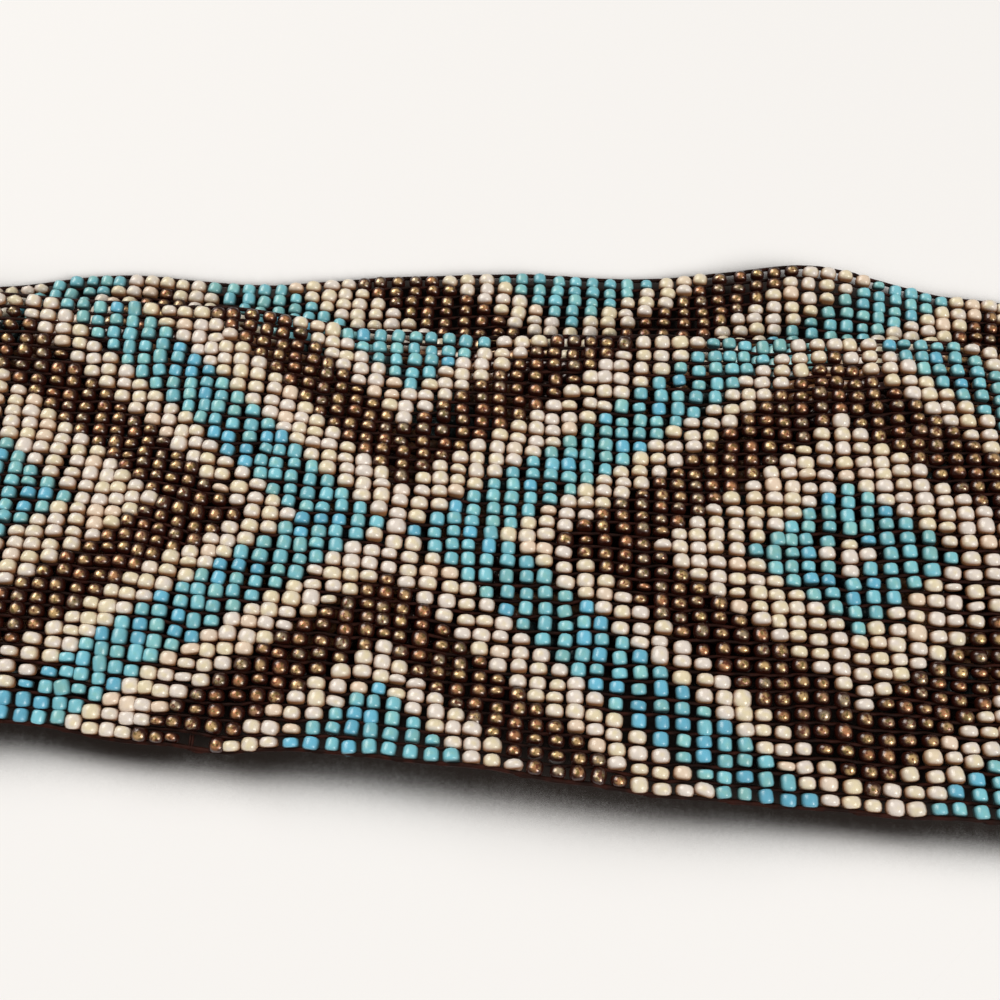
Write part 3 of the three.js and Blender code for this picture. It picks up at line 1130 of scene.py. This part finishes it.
class Graph:
    """The node tree of a new material."""

    def __init__(self, name: str) -> None:
        """Starts an empty node tree with its output."""
        self.material = bpy.data.materials.new(name)
        self.material.use_nodes = True
        self.tree = self.material.node_tree
        self.tree.nodes.clear()
        self.output = self.tree.nodes.new("ShaderNodeOutputMaterial")

    def node(self, kind: str, settings: dict | None = None, sockets: dict | None = None) -> bpy.types.Node:
        """Adds a node.

        Args:
            kind: The node's type.
            settings: Its properties. A ramp's stops are given as "stops", a list of places and colours.
            sockets: Values or links of its input sockets, by name or number.

        Returns:
            The new node.
        """
        node = self.tree.nodes.new(kind)
        for key, value in (settings or {}).items():
            if key != "stops":
                setattr(node, key, value)
                continue
            ramp = node.color_ramp
            while len(ramp.elements) < len(value):
                ramp.elements.new(0.5)
            for element, (place, colour) in zip(ramp.elements, value):
                element.position = place
                element.color = colour
        for key, value in (sockets or {}).items():
            socket = node.inputs[key]
            if isinstance(value, Value):
                self.tree.links.new(value.socket, socket)
            elif isinstance(value, bpy.types.NodeSocket):
                self.tree.links.new(value, socket)
            else:
                socket.default_value = value
        return node

    def position(self) -> bpy.types.NodeSocket:
        """Object coordinates."""
        return self.node("ShaderNodeTexCoord").outputs["Object"]

    def noise(self, scale: float, detail: float = 2.0, place: bpy.types.NodeSocket | None = None) -> Value:
        """Noise from 0 to 1 over the object's coordinates.

        Args:
            scale: Its scale, in features a metre.
            detail: How many finer layers it has.
            place: The coordinates, or None for the object's.

        Returns:
            The noise.
        """
        vector = place or self.position()
        node = self.node("ShaderNodeTexNoise", {}, {"Vector": vector, "Scale": scale, "Detail": detail})
        return Value(self, node.outputs["Fac"])

    def kept(self, name: str) -> tuple[Value, Value, Value]:
        """Three numbers from 0 to 1 that a mesh keeps on its points.

        Args:
            name: The attribute's name.

        Returns:
            The three numbers.
        """
        read = self.node("ShaderNodeAttribute", {"attribute_name": name})
        split = self.node("ShaderNodeSeparateColor", {}, {"Color": read.outputs["Color"]})
        return tuple(Value(self, split.outputs[part]) for part in ("Red", "Green", "Blue"))

    def facing(self) -> Value:
        """How far up a bead's nearest face a point is, or up its outer face where the other is covered.

        Returns:
            1 on top of the face, 0 half way down, and less on a covered face.
        """
        covered = Value(self, self.node("ShaderNodeAttribute", {"attribute_name": FORM}).outputs["Alpha"])
        up = (self.kept(FORM)[2] - 0.5) * 2.0
        height = abs(up)
        return height + covered * (up - height)

    def glow(self, centre: tuple[float, float, float], reach: float, soft: float) -> Value:
        """A soft round patch on each bead, on both of its faces.

        Args:
            centre: Its middle on the bead, along the belt, across it and up, from -1 to 1.
            reach: Its radius, as a share of the bead's.
            soft: The width of its edge, as a share of the bead's radius.

        Returns:
            1 inside the patch and 0 outside it.
        """
        along, across = [(part - 0.5) * 2.0 for part in self.kept(FORM)[:2]]
        parts = (along - centre[0], across - centre[1], self.facing() - centre[2])
        squares = [part * part for part in parts]
        distance = (squares[0] + squares[1] + squares[2]) ** 0.5
        return 1.0 - distance.over(reach, soft)

    def flank(self, height: float, soft: float, rim: float) -> Value:
        """The sides of each bead, away from both of its faces, where opaque beads get painted shade.

        Args:
            height: Where the sides end, as a share of the bead's radius.
            soft: The width of that edge, as a share of the bead's radius.
            rim: How much the two ends of the bead count as sides.

        Returns:
            1 on the sides and 0 on the faces.
        """
        across = (self.kept(FORM)[1] - 0.5) * 2.0
        return 1.0 - (self.facing() - across * across * rim).over(height, soft)

    def mix(self, share: Value | float, first: object, second: object) -> bpy.types.NodeSocket:
        """Mixes two colours.

        Args:
            share: How much of the second colour.
            first: A screen colour or a colour socket.
            second: A screen colour or a colour socket.

        Returns:
            The mixed colour.
        """
        values = {0: share}
        for index, colour in ((6, first), (7, second)):
            values[index] = linear(colour) if isinstance(colour, tuple) else colour
        node = self.node("ShaderNodeMix", {"data_type": "RGBA"}, values)
        return node.outputs[2]

    def bump(self, height: Value, strength: float, distance: float) -> bpy.types.NodeSocket:
        """A bumped normal from a height."""
        sockets = {"Height": height, "Strength": strength, "Distance": distance}
        return self.node("ShaderNodeBump", {}, sockets).outputs["Normal"]

    def finish(self, sockets: dict) -> bpy.types.Material:
        """Adds the shader and links it to the output.

        Args:
            sockets: Values or links of the shader's input sockets.

        Returns:
            The finished material.
        """
        shader = self.node("ShaderNodeBsdfPrincipled", {}, sockets)
        self.tree.links.new(shader.outputs[0], self.output.inputs["Surface"])
        return self.material


# Finishes


class Finish:
    """A finish that can be put on a piece."""

    name: str

    def build(self, graph: Graph) -> bpy.types.Material:
        """Builds the finish's nodes.

        Args:
            graph: An empty node tree with its output.

        Returns:
            The finished material.
        """
        raise NotImplementedError

    def dress(self, piece: bpy.types.Object) -> None:
        """Puts the finish on the whole piece. Its material is made at its first use."""
        material = bpy.data.materials.get(self.name) or self.build(Graph(self.name))
        piece.data.materials.clear()
        piece.data.materials.append(material)


@dataclass(frozen=True)
class OpaqueBeads(Finish):
    """Opaque glass beads that differ from bead to bead and are a little cloudy inside one, with painted shade
    on their flanks.
    """

    name: str
    usual: Colour
    other: Colour
    rare: Colour
    rare_from: float
    tone_range: float
    roughness: float
    coat: float
    coat_roughness: float
    # Painted shade: the dark colour that each bead's flanks, and the inner face of a covered lower-ply bead,
    # are mixed towards, with the height, softness and end share of that band
    painted_shade: Colour
    painted_shade_height: float = 0.44
    painted_shade_soft: float = 0.65
    painted_shade_rim: float = 0.12
    cool_rise: float = 0.0
    drift_scale: float = 14.0
    patch_scale: float = 1000.0
    cloud_scale: float = 1300.0
    cloud_range: float = 0.24
    heart_place: tuple[float, float, float] = (0.1, -0.1, 0.95)
    heart_reach: float = 0.3
    heart_soft: float = 0.7
    gloss_scale: float = 2600.0
    gloss_range: float = 0.12
    bump_scale: float = 2400.0
    bump_strength: float = 0.2
    bump_depth: float = 0.0002

    def build(self, graph: Graph) -> bpy.types.Material:
        """Opaque glass.

        Args:
            graph: An empty node tree with its output.

        Returns:
            The finished material.
        """
        tone, tint, rarity = graph.kept(TRAITS)
        drift = graph.noise(self.drift_scale, 1.0)
        cloud = graph.noise(self.cloud_scale, 3.0)
        place = graph.node("ShaderNodeSeparateXYZ", {}, {"Vector": graph.position()})
        nearness = Value(graph, place.outputs["Y"]) * -self.cool_rise
        heart = graph.glow(self.heart_place, self.heart_reach, self.heart_soft)
        patch = graph.noise(self.patch_scale, 1.0) - 0.5
        share = tint * 0.6 + drift * 0.5 + patch * 1.1 + heart * 0.25 - 0.15
        colour = graph.mix(share.over(0.5, 0.7), self.usual, self.other)
        colour = graph.mix((rarity + nearness).over(self.rare_from, 0.06), colour, self.rare)
        shade = (tone - 0.5) * self.tone_range + (cloud - 0.5) * self.cloud_range + 1.0
        level = graph.node("ShaderNodeCombineColor", {}, {"Red": shade, "Green": shade, "Blue": shade})
        tinted = graph.node(
            "ShaderNodeMix",
            {"data_type": "RGBA", "blend_type": "MULTIPLY"},
            {0: 1.0, 6: colour, 7: level.outputs[0]},
        )
        # Painted shade: the flanks of each bead, and the face of a lower-ply bead that lies under the upper
        # ply, are darkened, standing for the shade between beads and between the plies
        flank = graph.flank(self.painted_shade_height, self.painted_shade_soft, self.painted_shade_rim)
        shaded_colour = graph.mix(flank, tinted.outputs[2], self.painted_shade)
        roughness = self.roughness + (graph.noise(self.gloss_scale, 1.0) - 0.5) * self.gloss_range
        normal = graph.bump(graph.noise(self.bump_scale, 3.0), self.bump_strength, self.bump_depth)
        return graph.finish(
            {
                "Base Color": shaded_colour,
                "Roughness": roughness,
                "Coat Weight": self.coat,
                "Coat Roughness": self.coat_roughness,
                "Specular IOR Level": 0.5,
                "Normal": normal,
            }
        )


@dataclass(frozen=True)
class BronzeBeads(Finish):
    """Dark lustre beads: a metallic glow painted in the middle of a nearly black glass, standing for light
    off the gold-lined hole seen through the glass, with painted glints.
    """

    name: str
    body: Colour
    usual: Colour
    copper: Colour
    grey: Colour
    bright: Colour
    olive: Colour
    plum: Colour
    roughness: float
    # Painted glow: the place, size and edge of the lit patch on each bead
    painted_glow_place: tuple[float, float, float] = (0.0, -0.22, 0.95)
    painted_glow_reach: float = 0.52
    painted_glow_soft: float = 0.75
    olive_scale: float = 2300.0
    plum_scale: float = 1900.0
    painted_glint_scale: float = 3100.0
    cloud_scale: float = 1600.0
    bump_scale: float = 1500.0
    bump_strength: float = 0.15
    bump_depth: float = 0.0002

    def build(self, graph: Graph) -> bpy.types.Material:
        """Dark lustre glass.

        Args:
            graph: An empty node tree with its output.

        Returns:
            The finished material.
        """
        tone, tint, rarity = graph.kept(TRAITS)
        # These are the painted glow's colours: gold, copper, grey and bright glow, with olive and plum
        # patches as painted iridescent glints
        colour = graph.mix(tint.over(0.62, 0.25), self.usual, self.copper)
        colour = graph.mix((1.0 - tone).over(0.8, 0.2), colour, self.grey)
        colour = graph.mix(rarity.over(0.9, 0.08), colour, self.bright)
        colour = graph.mix(graph.noise(self.olive_scale, 1.0).over(0.58, 0.1) * 0.8, colour, self.olive)
        colour = graph.mix(graph.noise(self.plum_scale, 1.0).over(0.6, 0.1) * 0.85, colour, self.plum)
        # Painted glints: pale gold specks inside the glow
        colour = graph.mix(graph.noise(self.painted_glint_scale, 1.0).over(0.62, 0.08) * 0.7, colour, self.bright)
        cloud = graph.noise(self.cloud_scale, 2.0)
        # Painted glow: the lit patch in the middle of each bead, standing for light reflected off the lined
        # hole; outside it the dark glass
        glow = graph.glow(self.painted_glow_place, self.painted_glow_reach, self.painted_glow_soft)
        return graph.finish(
            {
                "Base Color": graph.mix(glow * (0.65 + cloud * 0.6), self.body, colour),
                "Metallic": 0.15 + glow * 0.3,
                "Roughness": self.roughness + (cloud - 0.5) * 0.15,
                "Coat Weight": 0.5,
                "Coat Roughness": 0.09,
                "Normal": graph.bump(graph.noise(self.bump_scale, 2.0), self.bump_strength, self.bump_depth),
            }
        )


@dataclass(frozen=True)
class WaxedThread(Finish):
    """Dark waxed thread."""

    name: str
    dark: Colour
    light: Colour
    fibre_scale: float = 5000.0
    tone_scale: float = 600.0

    def build(self, graph: Graph) -> bpy.types.Material:
        """Thread with a soft sheen and fine fibres.

        Args:
            graph: An empty node tree with its output.

        Returns:
            The finished material.
        """
        fibre = graph.noise(self.fibre_scale, 2.0)
        tone = graph.noise(self.tone_scale, 2.0).over(0.55, 0.3)
        return graph.finish(
            {
                "Base Color": graph.mix(tone, self.dark, self.light),
                "Roughness": 0.6 + fibre * 0.2,
                "Specular IOR Level": 0.15,
                "Normal": graph.bump(fibre, 0.4, 0.0001),
            }
        )


@dataclass(frozen=True)
class Leather(Finish):
    """Smooth dark leather with a fine grain."""

    name: str
    dark: Colour
    light: Colour
    pore_scale: float = 900.0
    patch_scale: float = 90.0
    crease_scale: float = 2500.0

    def build(self, graph: Graph) -> bpy.types.Material:
        """Leather with pores and creases.

        Args:
            graph: An empty node tree with its output.

        Returns:
            The finished material.
        """
        cells = graph.node(
            "ShaderNodeTexVoronoi",
            {"feature": "DISTANCE_TO_EDGE"},
            {"Vector": graph.position(), "Scale": self.pore_scale},
        )
        grain = Value(graph, cells.outputs["Distance"]).over(0.12, 0.2)
        patches = graph.noise(self.patch_scale, 4.0)
        height = grain * 0.6 + graph.noise(self.crease_scale, 3.0) * 0.4
        return graph.finish(
            {
                "Base Color": graph.mix(patches * 0.7 + grain * 0.25, self.dark, self.light),
                "Roughness": 0.52 + (patches - 0.5) * 0.3 - grain * 0.08,
                "Normal": graph.bump(height, 0.35, 0.00015),
            }
        )


@dataclass(frozen=True)
class AgedBrass(Finish):
    """Satin brass with a little tarnish."""

    name: str
    clean: Colour
    tarnish: Colour
    brush_scale: float = 6000.0
    brush_stretch: float = 0.06
    tarnish_scale: float = 160.0

    def build(self, graph: Graph) -> bpy.types.Material:
        """Brushed and tarnished brass.

        Args:
            graph: An empty node tree with its output.

        Returns:
            The finished material.
        """
        scale = (1.0, self.brush_stretch, 1.0)
        stretch = graph.node("ShaderNodeMapping", {}, {"Vector": graph.position(), "Scale": scale})
        brush = graph.noise(self.brush_scale, 2.0, stretch.outputs[0])
        tarnish = graph.noise(self.tarnish_scale, 4.0).over(0.56, 0.25)
        return graph.finish(
            {
                "Base Color": graph.mix(tarnish * 0.7, self.clean, self.tarnish),
                "Metallic": 1.0,
                "Roughness": 0.26 + tarnish * 0.2 + brush * 0.12,
                "Normal": graph.bump(brush, 0.12, 0.0001),
            }
        )


@dataclass(frozen=True)
class PlainFloor(Finish):
    """A pale matt surface with a painted contact shadow, darker close to what lies on it."""

    name: str
    colour: Colour
    # Colour of the painted contact shadow, with how far it reaches and its samples
    shade: Colour = (0.13, 0.09, 0.07)
    contact_shadow_reach: float = 0.009
    contact_shadow_samples: int = 16

    def build(self, graph: Graph) -> bpy.types.Material:
        """Pale matt floor.

        Args:
            graph: An empty node tree with its output.

        Returns:
            The finished material.
        """
        samples, reach = {"samples": self.contact_shadow_samples}, {"Distance": self.contact_shadow_reach}
        # Painted shadow: the floor is darkened where nearby geometry hides it, standing for the contact
        # shadow of the belt
        near = graph.node("ShaderNodeAmbientOcclusion", samples, reach)
        open_share = Value(graph, near.outputs["AO"])
        colour = graph.mix(open_share.over(0.78, 0.28), self.shade, self.colour)
        return graph.finish({"Base Color": colour, "Roughness": 0.8})


# Camera, light and floor


@dataclass
class Studio:
    """The floor, the lights and the camera, placed in the source's frame."""

    layout: BandLayout
    lens: float = 43.56
    camera_place: tuple[float, float, float] = (13.093, -62.824, 129.228)
    look_azimuth: float = 91.777
    look_elevation: float = -61.604
    roll: float = 2.618
    aim: tuple[float, float, float] = (11.0, 7.0, 0.0)
    floor_size: float = 6000.0

    def build_camera(self) -> bpy.types.Object:
        """Builds a camera at the photograph's angle.

        Returns:
            The camera.
        """
        azimuth, elevation = math.radians(self.look_azimuth), math.radians(self.look_elevation)
        look = Vector((math.cos(azimuth) * math.cos(elevation), math.sin(azimuth) * math.cos(elevation),
                       math.sin(elevation)))
        level = look.cross(Vector((0, 0, 1))).normalized()
        up = level.cross(look)
        roll = math.radians(self.roll)
        right = level * math.cos(roll) + up * math.sin(roll)
        data = bpy.data.cameras.new("camera")
        data.lens = self.lens
        data.sensor_width = 36.0
        data.clip_start = 0.005
        camera = bpy.data.objects.new("camera", data)
        turned = Matrix((right, right.cross(look), look * -1.0)).transposed().to_4x4()
        place = self.layout.placed(np.array(self.camera_place))
        camera.matrix_world = Matrix.Translation(Vector(place)) @ turned
        bpy.context.collection.objects.link(camera)
        bpy.context.scene.camera = camera
        return camera

    def build_light(
        self, name: str, direction: Vector, distance: float, size: float, power: float, colour: Colour
    ) -> bpy.types.Object:
        """A square light that looks at the middle of the view.

        Args:
            name: The light's name.
            direction: Where it stands, seen from the middle of the view.
            distance: How far away it stands.
            size: Its side.
            power: Its power in watts.
            colour: Its colour on a screen.

        Returns:
            The light.
        """
        data = bpy.data.lights.new(name, "AREA")
        data.shape = "SQUARE"
        data.size = size * MM
        data.energy = power
        data.color = linear(colour)[:3]
        light = bpy.data.objects.new(name, data)
        towards = direction.normalized()
        aim = Vector(self.layout.placed(np.array(self.aim)))
        light.location = aim + towards * distance * MM
        light.rotation_mode = "QUATERNION"
        light.rotation_quaternion = towards.to_track_quat("Z", "Y")
        bpy.context.collection.objects.link(light)
        return light

    def build_floor(self) -> bpy.types.Object:
        """Builds the surface that the belt lies on.

        Returns:
            The floor.
        """
        bpy.ops.object.select_all(action="DESELECT")
        bpy.ops.mesh.primitive_plane_add(size=self.floor_size * MM)
        floor = bpy.context.object
        floor.name = "floor"
        PlainFloor("pale_floor", (0.94, 0.942, 0.95)).dress(floor)
        return floor

    def build(self) -> None:
        """Builds the floor, two soft lamps, the room's own light and the camera."""
        self.build_floor()
        self.build_light("right_light", Vector((0.63, -0.48, 0.58)), 2000.0, 900.0, 32.0, (1.0, 0.985, 0.96))
        self.build_light("left_light", Vector((-0.62, 0.42, 0.62)), 2000.0, 1300.0, 36.0, (1.0, 0.98, 0.95))
        world = bpy.data.worlds.new("room")
        world.use_nodes = True
        background = world.node_tree.nodes["Background"]
        background.inputs["Color"].default_value = (1.0, 1.0, 1.0, 1.0)
        background.inputs["Strength"].default_value = 0.12
        bpy.context.scene.world = world
        bpy.context.scene.view_settings.view_transform = "Standard"
        self.build_camera()


# The whole belt


@dataclass
class BeadedBelt:
    """The belt: its beads, its threads, its two tabs and its hook."""

    layout: BandLayout = field(default_factory=BandLayout)

    def build(self) -> list[bpy.types.Object]:
        """Builds and dresses every piece.

        Returns:
            The new pieces.
        """
        band = BeadBand(self.layout)
        strung = band.strung()
        pieces = band.build(
            strung,
            {
                # The last colour given to each OpaqueBeads is its painted shade
                BeadKind.TURQUOISE: OpaqueBeads(
                    "turquoise_glass", (0.48, 0.752, 0.812), (0.53, 0.757, 0.757), (0.415, 0.712, 0.825),
                    0.83, 0.26, 0.36, 0.36, 0.2, (0.17, 0.26, 0.27), cool_rise=5.0
                ),
                BeadKind.CREAM: OpaqueBeads(
                    "cream_glass", (0.885, 0.846, 0.815), (0.89, 0.841, 0.715), (0.90, 0.818, 0.735),
                    0.93, 0.06, 0.38, 0.5, 0.16, (0.54, 0.37, 0.24)
                ),
                # Bronze: the dark glass, then the colours of its painted glow and painted glints
                BeadKind.BROWN: BronzeBeads(
                    "bronze_glass", (0.19, 0.065, 0.03), (0.87, 0.71, 0.51), (0.83, 0.58, 0.41),
                    (0.75, 0.67, 0.56), (0.95, 0.80, 0.56), (0.50, 0.45, 0.22), (0.46, 0.22, 0.16), 0.3
                ),
            },
        )
        thread = WaxedThread("dark_thread", (0.10, 0.028, 0.010), (0.20, 0.075, 0.040))
        pieces += Threads(self.layout, strung).build(band.missing, thread)
        leather = Leather("brown_leather", (0.15, 0.09, 0.06), (0.29, 0.18, 0.12))
        brass = AgedBrass("aged_brass", (0.78, 0.62, 0.36), (0.4, 0.29, 0.18))
        pieces.append(RigidPiece("slot_tab", "slotted_leather_tab", "leather", 0.35).build(leather))
        pieces.append(RigidPiece("hook_tab", "hooked_leather_tab", "leather", 0.35).build(leather))
        pieces.append(RigidPiece("clasp_hook", "brass_hook", "hook_metal", 0.25).build(brass))
        pieces.append(Seam(self.layout).build(thread))
        return pieces


def main() -> None:
    """Builds the belt and its studio."""
    logging.basicConfig(level=logging.INFO, format="%(message)s")
    belt = BeadedBelt()
    pieces = belt.build()
    Studio(belt.layout).build()
    LOG.info("%d pieces", len(pieces))


if __name__ == "__main__":
    main()
